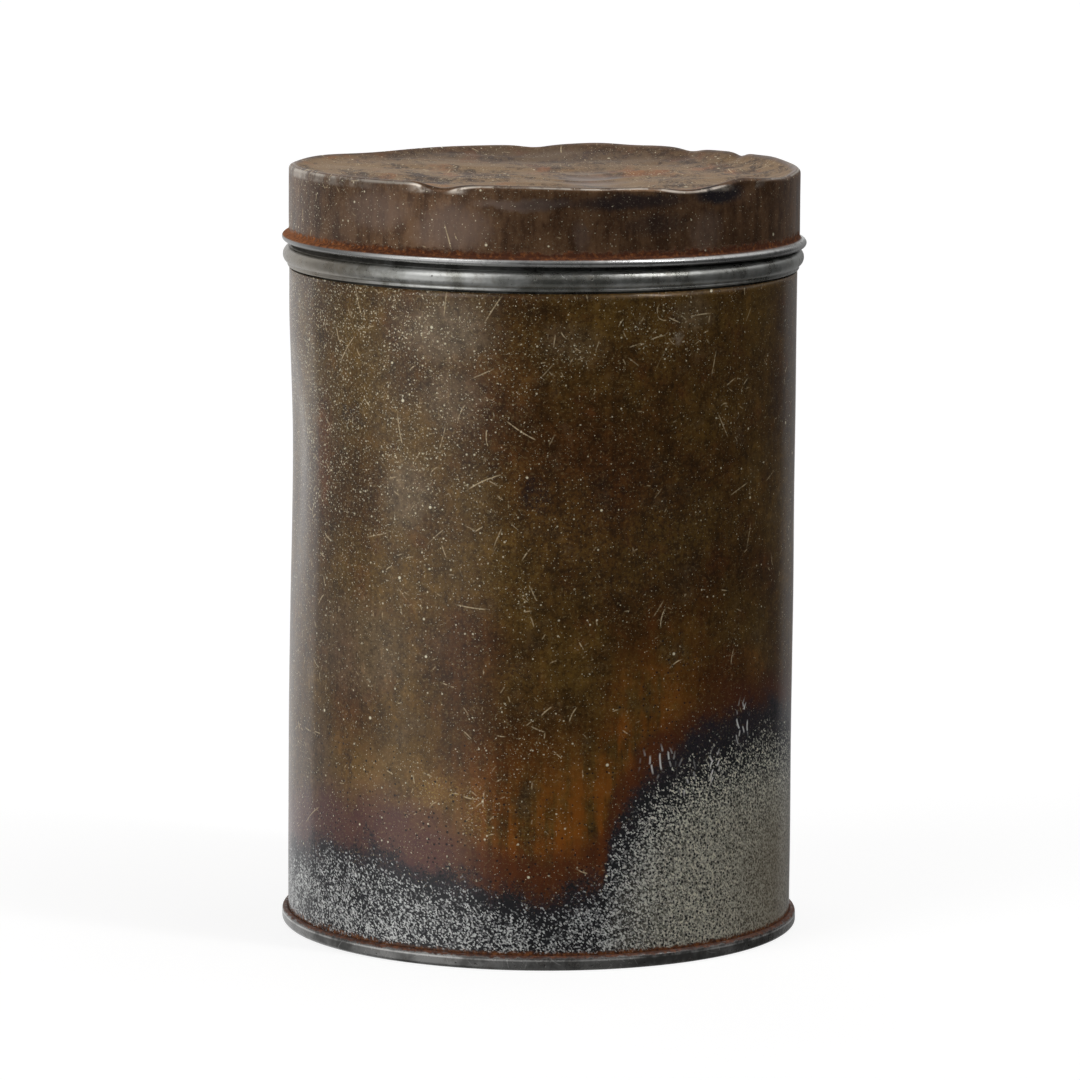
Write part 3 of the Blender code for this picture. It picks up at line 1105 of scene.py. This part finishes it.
def object_of(name: str, shape: bmesh.types.BMesh) -> bpy.types.Object:
    """Make an object of a shape and free the shape.

    Args:
        name: The object's name.
        shape: Its mesh in the making.

    Returns:
        The object, linked to the scene.
    """
    mesh = bpy.data.meshes.new(name)
    shape.to_mesh(mesh)
    shape.free()
    item = bpy.data.objects.new(name, mesh)
    bpy.context.scene.collection.objects.link(item)
    return item


@dataclass
class Piece:
    """A piece of sheet or a solid that is shaped, dressed and tied to the frame."""

    name: str
    body: Body
    slot: str
    stands_for: tuple[str, ...]
    sheet: float = 0.3 * MM
    even: bool = True

    def shape(self) -> bmesh.types.BMesh:
        """The piece's outer face."""
        raise NotImplementedError

    def finishes(self) -> list[bpy.types.Material]:
        """The outer finish, and the inner one where the piece is a shell."""
        raise NotImplementedError

    def build(self) -> bpy.types.Object:
        """Build the piece.

        Returns:
            The finished object.
        """
        piece = object_of(self.name, self.shape())
        mesh = piece.data
        for material in self.finishes():
            mesh.materials.append(material)
        if self.sheet:
            wall = piece.modifiers.new("sheet", "SOLIDIFY")
            wall.thickness = self.sheet
            wall.offset = -1.0
            wall.use_even_offset = self.even
            wall.material_offset = len(mesh.materials) - 1
        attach(piece, self.body.value)
        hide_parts(*self.stands_for)
        LOG.info("%s: %d faces", self.name, len(mesh.polygons))
        return piece


@dataclass
class TurnedPiece(Piece):
    """A piece turned from an outline and knocked out of true."""

    steps: int = 256

    def outline(self) -> Outline:
        """The outline of the piece's outer face."""
        raise NotImplementedError

    def shaped(self, point: Vector) -> Vector:
        """Where a point of the true shape really lies."""
        return point

    def cut(self, shape: bmesh.types.BMesh) -> None:
        """Add edges where the shape needs them."""

    def shape(self) -> bmesh.types.BMesh:
        """The turned and knocked outer face.

        Returns:
            The shape.
        """
        shape = bmesh.new()
        line = [shape.verts.new((r * MM, 0.0, z * MM)) for r, z in self.outline().points]
        edges = [shape.edges.new(pair) for pair in zip(line, line[1:])]
        bmesh.ops.spin(shape, geom=line + edges, cent=(0, 0, 0), axis=(0, 0, 1),
                       angle=math.tau, steps=self.steps, use_merge=True)
        bmesh.ops.remove_doubles(shape, verts=shape.verts, dist=MERGE)
        self.cut(shape)
        bmesh.ops.recalc_face_normals(shape, faces=shape.faces)
        widest = max(shape.faces, key=lambda f: f.calc_center_median().xy.length)
        if widest.normal.xy.dot(widest.calc_center_median().xy) < 0:
            bmesh.ops.reverse_faces(shape, faces=shape.faces)
        for vertex in shape.verts:
            vertex.co = self.shaped(vertex.co.copy())
        for face in shape.faces:
            face.smooth = True
        return shape


@dataclass
class BodyWall(TurnedPiece):
    """The rolled body, with its lock seam at the back and a wide dent on the left."""

    name: str = "tin_body"
    body: Body = Body.CAN
    slot: str = "body_tin"
    stands_for: tuple[str, ...] = ("body_wall",)
    steps: int = 288
    radius_mm: float = 50.0
    top_mm: float = WALL_HEAD_MM
    flange_mm: float = 0.8
    seam_mm: float = 4.5
    seam_edge_mm: float = 0.18
    seam_proud_mm: float = 0.33
    seam_foot_mm: float = 3.6
    wander_mm: float = 0.12
    held_low_mm: Point = (2.0, 14.0)
    held_high_mm: Point = (129.5, 118.0)

    def outline(self) -> Outline:
        """Straight wall with a small flange at its foot, hidden in the base's rim.

        Returns:
            The outline.
        """
        shape = Outline()
        shape.line(self.radius_mm, self.top_mm).line(self.radius_mm, 1.6, 96)
        foot = (self.radius_mm + 0.4, self.flange_mm + 0.7)
        return shape.arc(foot, 0.4, 180, 270, 3)

    def cut(self, shape: bmesh.types.BMesh) -> None:
        """Cut upright edges along both sides of the lock seam.

        Args:
            shape: The turned wall.
        """
        half = self.seam_mm / 2
        for side in (-1, 1):
            for inset in (0.0, self.seam_edge_mm):
                near = [v for v in shape.verts if v.co.y > 0.9 * self.radius_mm * MM]
                edges = {e for v in near for e in v.link_edges}
                faces = {f for v in near for f in v.link_faces}
                bmesh.ops.bisect_plane(shape, geom=near + list(edges) + list(faces), dist=1e-7,
                                       plane_co=(side * (half - inset) * MM, 0, 0),
                                       plane_no=(1, 0, 0))

    def shaped(self, point: Vector) -> Vector:
        """Raise the seam, press in the dent and let the sheet wander a little.

        Args:
            point: A point of the true wall.

        Returns:
            Where it really lies.
        """
        z = point.z / MM
        out = 0.0
        if point.y > 0 and z > self.flange_mm + 0.8:
            edge = self.seam_mm / 2
            across = abs(point.x) / MM
            rise = smooth(across, edge + 0.01, edge - self.seam_edge_mm)
            out += self.seam_proud_mm * rise * smooth(z, self.seam_foot_mm - 0.8, self.seam_foot_mm)
        out -= DENT.depth(point)
        held = smooth(z, *self.held_low_mm) * smooth(z, *self.held_high_mm)
        out += self.wander_mm * held * noise.noise(point * 38.0)
        return outward(point, out)

    def finishes(self) -> list[bpy.types.Material]:
        """Browned lacquer outside, dull tin inside."""
        return [BodyFinish(radius_mm=self.radius_mm).make(), INNER_TIN.make()]


@dataclass
class NeckRing(TurnedPiece):
    """The neck ring: a hemmed neck, the half-round stop bead, and a sleeve in the body."""

    name: str = "tin_neck_ring"
    body: Body = Body.CAN
    slot: str = "neck_tin"
    stands_for: tuple[str, ...] = ("neck_ring",)
    sleeve_mm: float = 49.4
    neck_mm: float = 49.6
    neck_top_mm: float = NECK_HEAD_MM
    bead_mm: float = 51.3
    bead_foot_mm: float = NECK_HEAD_MM - 13.2
    bead_head_mm: float = NECK_HEAD_MM - 9.3
    lip_mm: float = 0.55
    hem_mm: float = 0.6

    def outline(self) -> Outline:
        """From the hem at the top, down over the bead, to the sleeve's foot.

        Returns:
            The outline.
        """
        shape = Outline()
        hem = (self.neck_mm - self.hem_mm, self.neck_top_mm - self.hem_mm)
        shape.arc(hem, self.hem_mm, 150, 0, 10)
        shape.line(self.neck_mm, self.bead_head_mm + 0.4, 8)
        shape.arc((self.neck_mm + 0.25, self.bead_head_mm + 0.25), 0.25, 180, 262, 4)
        middle = (self.bead_head_mm + self.bead_foot_mm + self.lip_mm) / 2
        half = (self.bead_head_mm - self.bead_foot_mm - self.lip_mm) / 2
        shape.arc((self.neck_mm + 0.15, middle), self.bead_mm - self.neck_mm - 0.15, 88, -70, 20,
                  half)
        shape.arc((self.neck_mm + 0.50, self.bead_foot_mm + 0.28), 0.28, 35, -90, 6)
        shape.line(self.sleeve_mm + 0.6, self.bead_foot_mm, 2)
        shape.arc((self.sleeve_mm + 0.4, self.bead_foot_mm - 0.4), 0.4, 90, 180, 4)
        return shape.line(self.sleeve_mm, SLEEVE_FOOT_MM, 6)

    def shaped(self, point: Vector) -> Vector:
        """Let the bead wander a little, as rolled by hand."""
        held = smooth(point.xy.length / MM, 50.0, 51.0)
        return outward(point, held * (0.07 * noise.noise(point * 90.0) - 0.04))

    def finishes(self) -> list[bpy.types.Material]:
        """Bare tin outside, dull tin inside."""
        # Painted shade: the dark band starts just under the bead's head, for the gap under the
        # lid's curl, and the left side is darkened.
        ring = BareTin("ring_tin", bright=(0.52, 0.525, 0.505), dull=(0.24, 0.24, 0.215),
                       stain=(0.22, 0.18, 0.13), roughness=0.29, stained=0.4, metal=0.78,
                       shade_band_low_mm=self.bead_head_mm - 0.10, left_shade=0.75)
        return [ring.make(), INNER_TIN.make()]


@dataclass
class BaseEnd(TurnedPiece):
    """The pressed base: ringed panel, countersink, foot, and the rim curled over the body."""

    name: str = "tin_base"
    body: Body = Body.CAN
    slot: str = "base_tin"
    stands_for: tuple[str, ...] = ("base_end",)
    rim_mm: float = 51.2
    rim_head_mm: float = 2.9
    wall_mm: float = 49.1
    panel_mm: float = 3.2
    ring_mm: float = 34.0
    ring_step_mm: float = 0.6
    groove_mm: float = 42.6

    def outline(self) -> Outline:
        """The outer face, from the middle of the underside out and up round the rim.

        Returns:
            The outline.
        """
        shape = Outline()
        step = self.ring_step_mm
        raised = self.panel_mm + step
        shape.line(0.0, raised).line(self.ring_mm, raised, 12)
        shape.arc((self.ring_mm, raised + step), step, 270, 315, 3)
        shape.arc((self.ring_mm + 1.4, self.panel_mm - step), step, 135, 90, 3)
        shape.line(self.groove_mm - 0.6, self.panel_mm, 4)
        shape.arc((self.groove_mm, self.panel_mm), 0.6, 180, 360, 8, -0.45)
        shape.line(self.wall_mm - 0.8, self.panel_mm, 3)
        shape.arc((self.wall_mm - 0.8, self.panel_mm - 0.8), 0.8, 90, 0, 6)
        shape.line(self.wall_mm, 0.75, 2)
        shape.arc((self.wall_mm + 0.75, 0.75), 0.75, 180, 270, 6)
        shape.arc((self.rim_mm - 0.85, 0.85), 0.85, 270, 352, 10)
        shape.line(self.rim_mm, 1.35)
        return shape.arc((self.rim_mm - 0.75, self.rim_head_mm - 0.85), 0.75, 8, 150, 10, 0.85)

    def shaped(self, point: Vector) -> Vector:
        """Small knocks in the rim, none of them past the foot's plane."""
        held = smooth(point.xy.length / MM, 50.2, 51.0)
        return outward(point, held * (0.10 * noise.noise(point * 70.0) - 0.05))

    def finishes(self) -> list[bpy.types.Material]:
        """Worn tin with rust in the notch over the rim, and a painted highlight line along the rim.
        """
        worn = BareTin("base_tin", dull=(0.090, 0.088, 0.084), bright=(0.24, 0.237, 0.230),
                       stain=(0.10, 0.085, 0.07), roughness=0.24, stained=0.4, metal=0.5,
                       highlight_rub_mm=2.05, rust_low_mm=2.5, rust_high_mm=3.1,
                       rust=Rust(deep=(0.045, 0.015, 0.008), orange=(0.240, 0.075, 0.024)))
        return [worn.make(), INNER_TIN.make()]


@dataclass(frozen=True)
class Knock:
    """A knock in the lid's rim: where, how wide in degrees, how deep and how far in."""

    bearing: float
    spread: float
    drop_mm: float
    push_mm: float = 0.0


@dataclass
class LidShell(TurnedPiece):
    """The drawn lid: sunken buckled top, rounded shoulder, skirt and rolled edge."""

    name: str = "tin_lid"
    body: Body = Body.LID
    slot: str = "lid_tin"
    stands_for: tuple[str, ...] = ("lid_shell",)
    steps: int = 384
    top_mm: float = LID_HEAD_MM - 0.55
    skirt_mm: float = 50.25
    shoulder_mm: float = 0.95
    sink_mm: float = 3.1
    curl_mm: float = 51.6
    curl_foot_mm: float = LID_FOOT_MM + 0.40
    curl_head_mm: float = LID_FOOT_MM + 2.3
    shift_mm: float = 0.15
    tilt: float = 0.0030
    lean: float = 0.0060
    flat_mm: float = 44.0
    rings: int = 44
    shoulder_rings: int = 8
    wander_mm: float = 0.10
    knocks: tuple[Knock, ...] = (
        Knock(-23.5, 4.5, 0.85, 0.45), Knock(-30.0, 3.0, -0.25), Knock(34.0, 8.0, 0.95, 0.25),
        Knock(13.0, 11.0, 0.25), Knock(51.0, 6.5, -0.55, 0.9), Knock(70.0, 6.0, 0.35),
        Knock(-177.5, 4.0, 0.50), Knock(167.0, 8.5, -0.50), Knock(152.0, 6.0, -0.25),
        Knock(143.0, 3.0, 0.50), Knock(127.0, 2.2, 0.60), Knock(113.0, 6.0, -0.2),
        Knock(-135.0, 14.0, 0.45), Knock(-98.0, 12.0, 0.30), Knock(-132.0, 34.0, 0.42),
        Knock(128.0, 30.0, -0.45),
    )

    def outline(self) -> Outline:
        """From the middle of the top out over the shoulder, down the skirt, round the curl.

        Returns:
            The outline.
        """
        shape = Outline()
        inner = self.skirt_mm - self.shoulder_mm
        flat = [self.flat_mm * i / self.rings for i in range(self.rings + 1)]
        share = [i / self.shoulder_rings for i in range(1, self.shoulder_rings + 1)]
        for radius in flat + [self.flat_mm + (inner - self.flat_mm) * s for s in share]:
            shape.line(radius, self._panel(radius))
        shape.arc((inner, self.top_mm - self.shoulder_mm), self.shoulder_mm, 84, 0, 9)
        shape.line(self.skirt_mm, self.curl_head_mm + 0.3, 16)
        shape.arc((self.skirt_mm + 0.3, self.curl_head_mm + 0.3), 0.3, 180, 250, 3)
        middle = (self.curl_foot_mm + self.curl_head_mm - 0.1) / 2
        half = (self.curl_head_mm - 0.1 - self.curl_foot_mm) / 2
        centre = (self.skirt_mm + 0.15, middle)
        return shape.arc(centre, self.curl_mm - centre[0], 80, -118, 18, half)

    def _panel(self, radius: float) -> float:
        """Height of the true panel at a radius, in millimetres."""
        share = radius / (self.skirt_mm - self.shoulder_mm)
        return self.top_mm - self.sink_mm * (1.0 - 0.42 * share**2 - 0.58 * share**14)

    def shaped(self, point: Vector) -> Vector:
        """Knock the rim and the top, and sit the lid a little askew.

        Args:
            point: A point of the true lid.

        Returns:
            Where it really lies.
        """
        radius = point.xy.length / MM
        z = point.z / MM
        if radius < self.skirt_mm - self.shoulder_mm:
            near = (radius / 48.7) ** 7
            lift, push = self._knocked(point, near, near)
            lift += self._buckled(point, radius)
        else:
            near = smooth(z, self.top_mm - 7.0, self.top_mm - 0.7)
            high = smooth(z, self.top_mm - 5.0, self.top_mm - 1.0)
            lift, push = self._knocked(point, near, high)
            skirt = smooth(z - self.curl_head_mm, 0.5, 4.0)
            push -= self.wander_mm * skirt * noise.noise(point * 55.0)
        moved = outward(point, -push) + Vector((0.0, 0.0, lift * MM))
        moved.x += self.shift_mm * MM
        moved.z -= moved.y * self.tilt + moved.x * self.lean
        moved.z = min(moved.z, (LID_HEAD_MM - 0.03) * MM)
        return moved

    def _knocked(self, point: Vector, near: float, high: float) -> Point:
        """How far the knocks lift a point and push it in.

        Args:
            point: A point of the true lid.
            near: How much of a knock's drop the point takes, from 0 to 1.
            high: How much of its push the point takes, from 0 to 1.

        Returns:
            The lift and the push, in millimetres.
        """
        lift = 0.0
        push = 0.0
        for knock in self.knocks:
            gap = bearing_gap(bearing_of(point), knock.bearing) / knock.spread
            strength = math.exp(-gap * gap)
            lift -= knock.drop_mm * strength * near
            push += knock.push_mm * strength * high
        return lift, push

    def _buckled(self, point: Vector, radius: float) -> float:
        """How far the sunken top has buckled up at a point.

        Args:
            point: A point of the true top.
            radius: Its distance from the axis in millimetres.

        Returns:
            The lift in millimetres.
        """
        loose = smooth(radius, 48.6, 42.0) * (0.3 + smooth(radius, 47.0, 30.0) * 0.6)
        crease = noise.noise(Vector((point.x * 30.0, point.y * 95.0, 4.0)))
        folded = 0.35 * smooth(radius, 48.5, 40.0) * (1.0 - abs(crease) * 3.0)
        return loose * noise.noise(point * 62.0) + folded

    def finishes(self) -> list[bpy.types.Material]:
        """Lid lacquer outside, dull tin inside."""
        return [LidFinish().make(), INNER_TIN.make()]


@dataclass
class PolishCake(TurnedPiece):
    """The polish: a cake with a hollow worn in its top, wiped in rings and cracked round it."""

    name: str = "polish"
    body: Body = Body.CAN
    slot: str = "polish"
    stands_for: tuple[str, ...] = ("polish_cake",)
    steps: int = 320
    sheet: float = 0.0
    radius_mm: float = 49.2
    top_mm: float = 88.0
    foot_mm: float = 4.4
    hollow_mm: float = 6.0
    hollow_radius_mm: float = 44.0
    rings: int = 110

    def outline(self) -> Outline:
        """From the middle of the top out to the wall and down to the base.

        Returns:
            The outline.
        """
        shape = Outline()
        rim = self.radius_mm - 0.8
        for i in range(self.rings + 1):
            radius = rim * i / self.rings
            share = min(1.0, radius / self.hollow_radius_mm)
            rise = (1.0 - math.cos(math.pi * share)) / 2.0
            shape.line(radius, self.top_mm - 0.6 - self.hollow_mm * (1.0 - rise))
        shape.arc((rim, self.top_mm - 1.4), 0.8, 80, 0, 4)
        shape.line(self.radius_mm, self.foot_mm, 20)
        return shape.line(0.0, self.foot_mm, 4)

    def shaped(self, point: Vector) -> Vector:
        """Press in the side where the wall is, and wipe rings and cracks into the top.

        Args:
            point: A point of the true cake.

        Returns:
            Where it really lies.
        """
        z = point.z / MM
        radius = point.xy.length / MM
        yielded = 1.0 - DENT.depth(point) * smooth(radius, 34.0, self.radius_mm) / self.radius_mm
        point.x *= yielded
        point.y *= yielded
        if z < self.top_mm - 8.5:
            return point
        bearing = math.radians(bearing_of(point))
        wipe = math.sin(radius * 1.5 + bearing * 2.0 + 2.0 * noise.noise(point * 60.0))
        lift = 0.16 * wipe * smooth(radius, 44.0, 34.0) * smooth(radius, 2.0, 8.0)
        lift += 0.5 * noise.noise(point * 70.0) * smooth(radius, 48.4, 45.0)
        spots = noise.voronoi(Vector((point.x, point.y, 0.0)) * 90.0)[0]
        crack = smooth(spots[1] - spots[0], 0.10, 0.0)
        lift -= 1.5 * crack * smooth(radius, 26.0, 40.0) * smooth(radius, 49.0, 48.0)
        point.z += lift * MM
        return point

    def finishes(self) -> list[bpy.types.Material]:
        """Wax polish."""
        return [PolishFinish().make()]


@dataclass
class SeamSolder(Piece):
    """The run of solder in the corner beside the lock seam, a rounded strip on the wall."""

    name: str = "seam_solder"
    body: Body = Body.CAN
    slot: str = "solder"
    stands_for: tuple[str, ...] = ("side_seam_solder",)
    sheet: float = 0.12 * MM
    even: bool = False
    width_mm: float = 1.2
    proud_mm: float = 0.30
    wall_mm: float = 50.0
    seam_edge_mm: float = 2.22

    def shape(self) -> bmesh.types.BMesh:
        """The strip's outer face.

        Returns:
            The shape.
        """
        low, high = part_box(self.stands_for[0])
        shape = bmesh.new()
        bmesh.ops.create_grid(shape, x_segments=8, y_segments=260, size=0.5)
        for vertex in shape.verts:
            vertex.co = self._placed(vertex.co, low.z, high.z)
        bmesh.ops.recalc_face_normals(shape, faces=shape.faces)
        if shape.faces[:][0].normal.y < 0:
            bmesh.ops.reverse_faces(shape, faces=shape.faces)
        for face in shape.faces:
            face.smooth = True
        return shape

    def finishes(self) -> list[bpy.types.Material]:
        """Grey solder."""
        return [SOLDER.make()]

    def _placed(self, spot: Vector, low: float, high: float) -> Vector:
        """Where a point of the flat grid lies on the run.

        Args:
            spot: The point, from -0.5 to 0.5 both ways.
            low: Height of the run's foot.
            high: Height of the run's head.

        Returns:
            The point's place.
        """
        z = low + (spot.y + 0.5) * (high - low)
        wander = noise.noise(Vector((0.0, 3.0, z * 300.0)))
        half = (self.width_mm / 2) * (1.0 + 0.35 * wander)
        across = self.seam_edge_mm + half + spot.x * 2.0 * half
        crown = math.cos(math.pi * spot.x)
        wall = math.sqrt(self.wall_mm**2 - across**2)
        lump = self.proud_mm * (1.0 + 0.4 * noise.noise(Vector((9.0, 1.0, z * 420.0))))
        return Vector((across * MM, (wall + 0.13 + lump * crown) * MM, z))


INNER_TIN = BareTin("inner_tin", bright=(0.30, 0.29, 0.27), dull=(0.16, 0.145, 0.12),
                    roughness=0.5, stained=0.8)
SOLDER = BareTin("solder_grey", bright=(0.40, 0.395, 0.38), dull=(0.20, 0.195, 0.185),
                 roughness=0.45, stained=0.35)


# ---------------------------------------------------------------------------------------------
# Studio
# ---------------------------------------------------------------------------------------------


@dataclass(frozen=True)
class Window:
    """A soft patch of light in the room round the tin."""

    bearing: float
    half_width: float
    low: float
    high: float
    level: float
    edge: float = 12.0

    def glow(self, bearing: Wire, rise: Wire) -> Wire:
        """Its light in a direction.

        Args:
            bearing: Bearing of the direction in degrees.
            rise: Elevation of the direction in degrees.

        Returns:
            The light's strength.
        """
        turned = (bearing - (self.bearing - 180.0)).math("WRAP", 360.0, 0.0) - 180.0
        across = abs(turned).step(self.half_width + self.edge, self.half_width - self.edge)
        upper = rise.step(self.high + self.edge, self.high - self.edge)
        lower = rise.step(self.low - self.edge, self.low + self.edge)
        return across * upper * lower * self.level


@dataclass
class Studio:
    """White floor and room, soft windows of light round the tin, and the camera."""

    eye_back: float = 1.2423
    eye_height: float = 0.2579
    pitch: float = 8.32
    roll: float = 0.42
    lens: float = 211.2
    shift: float = -0.00124
    sensor: float = 36.0
    near_clip: float = 0.05
    far_clip: float = 50.0
    floor_size: float = 6.0
    floor_grey: Colour = (0.300, 0.300, 0.300)
    floor_glow: float = 0.80
    dimness: float = 0.045
    windows: tuple[Window, ...] = (
        Window(-50.0, 15.0, 16.0, 66.0, 3.2),
        Window(-52.0, 26.0, -40.0, 10.0, 1.10, 14.0),
        Window(-158.0, 30.0, -50.0, 60.0, 0.95, 4.0),
        Window(-98.0, 34.0, -40.0, 50.0, 0.42),
        Window(163.0, 21.0, -50.0, 60.0, 0.26, 6.0),
        Window(62.0, 4.0, 30.0, 74.0, 11.0, 4.0),
        Window(95.0, 55.0, 24.0, 72.0, 0.9, 10.0),
        Window(20.0, 60.0, 14.0, 70.0, 0.22, 10.0),
        Window(0.0, 200.0, -100.0, -46.0, 0.22, 8.0),
        Window(0.0, 200.0, 76.0, 130.0, 1.0),
    )

    def build(self) -> None:
        """Build the whole studio."""
        self._world()
        self._floor()
        self._camera()
        bpy.context.scene.view_settings.view_transform = "Standard"

    def _world(self) -> None:
        """White to the eye; for light, dark with soft windows in chosen directions."""
        world = bpy.data.worlds.new("white_room")
        bpy.context.scene.world = world
        world.use_nodes = True
        board = Board(world.node_tree)
        board.tree.nodes.clear()
        place = board.wire("ShaderNodeTexCoord", {}, {}, "Generated")
        x, y, z = board.split(place)
        bearing = x.math("ARCTAN2", y * -1.0) * math.degrees(1.0)
        rise = z.math("ARCSINE") * math.degrees(1.0)
        total = bearing * 0.0 + self.dimness
        for window in self.windows:
            total = total + window.glow(bearing, rise)
        soft = board.node("ShaderNodeBackground", {}, {"Strength": total})
        seen = board.node("ShaderNodeBackground", {}, {"Strength": 1.0})
        path = board.wire("ShaderNodeLightPath", {}, {}, "Is Camera Ray")
        values = {0: path, 1: Wire(board, soft.outputs[0]), 2: Wire(board, seen.outputs[0])}
        shown = board.wire("ShaderNodeMixShader", {}, values)
        board.node("ShaderNodeOutputWorld", {}, {"Surface": shown})

    def _floor(self) -> None:
        """A white floor that takes only a faint shadow."""
        shape = bmesh.new()
        bmesh.ops.create_grid(shape, x_segments=1, y_segments=1, size=self.floor_size)
        floor = object_of("floor", shape)
        material = bpy.data.materials.new("white_floor")
        material.use_nodes = True
        shader = material.node_tree.nodes["Principled BSDF"]
        shader.inputs["Base Color"].default_value = (*self.floor_grey, 1.0)
        shader.inputs["Roughness"].default_value = 1.0
        shader.inputs["Specular IOR Level"].default_value = 0.0
        shader.inputs["Emission Color"].default_value = (1.0, 1.0, 1.0, 1.0)
        shader.inputs["Emission Strength"].default_value = self.floor_glow
        floor.data.materials.append(material)
        floor.visible_glossy = False
        floor.visible_diffuse = False
        floor.visible_shadow = False

    def _camera(self) -> None:
        """The camera, a little above the lid and far off, on a long lens."""
        data = bpy.data.cameras.new("camera")
        data.sensor_width = self.sensor
        data.lens = self.lens
        data.shift_x = self.shift
        data.clip_start = self.near_clip
        data.clip_end = self.far_clip
        item = bpy.data.objects.new("camera", data)
        bpy.context.scene.collection.objects.link(item)
        turn = Matrix.Rotation(math.radians(90.0 - self.pitch), 4, "X")
        lean = Matrix.Rotation(math.radians(self.roll), 4, "Z")
        item.matrix_world = Matrix.Translation((0.0, -self.eye_back, self.eye_height)) @ turn @ lean
        bpy.context.scene.camera = item


def main() -> None:
    """Build the studio and every piece of the tin."""
    logging.basicConfig(level=logging.INFO, format="%(message)s")
    Studio().build()
    for piece in (BodyWall(), NeckRing(), BaseEnd(), LidShell(), PolishCake(), SeamSolder()):
        piece.build()
    bpy.context.view_layer.update()


if __name__ == "__main__":
    main()
